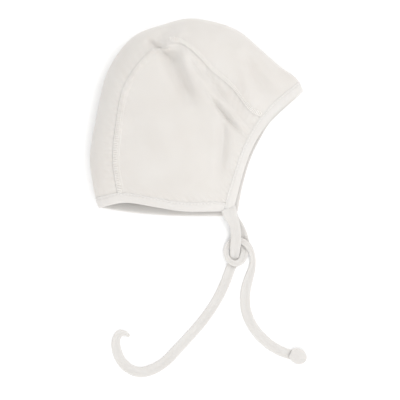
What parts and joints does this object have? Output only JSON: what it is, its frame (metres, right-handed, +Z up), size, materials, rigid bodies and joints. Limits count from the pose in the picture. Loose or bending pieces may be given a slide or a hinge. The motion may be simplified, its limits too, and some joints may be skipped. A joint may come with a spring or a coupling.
{
  "type": "baby bonnet",
  "caption": "Knitted baby bonnet with a small peak, lying on its side, with two flat tie tapes in a loose half knot.",
  "frame": {"origin": "middle of the bonnet's bounding box on the surface that it lies on, without its ties", "axes": "+X from the back of the head to the peak, +Y from the neck edge to the crown, +Z up through the bonnet from the side it lies on"},
  "size_m": [0.1716, 0.2887, 0.0351],
  "materials": {
    "panel_knit": "matt ivory cotton jersey",
    "band_knit": "matt ivory cotton jersey, folded double",
    "tie_knit": "matt ivory cotton jersey tape",
    "seam_thread": "spun ivory sewing thread"
  },
  "bodies": {
    "root": {"side_panel_near": "panel_knit", "side_panel_far": "panel_knit", "centre_panel": "panel_knit", "face_band": "band_knit", "neck_band": "band_knit", "tie_near": "tie_knit", "tie_far": "tie_knit"}
  },
  "joints": []
}
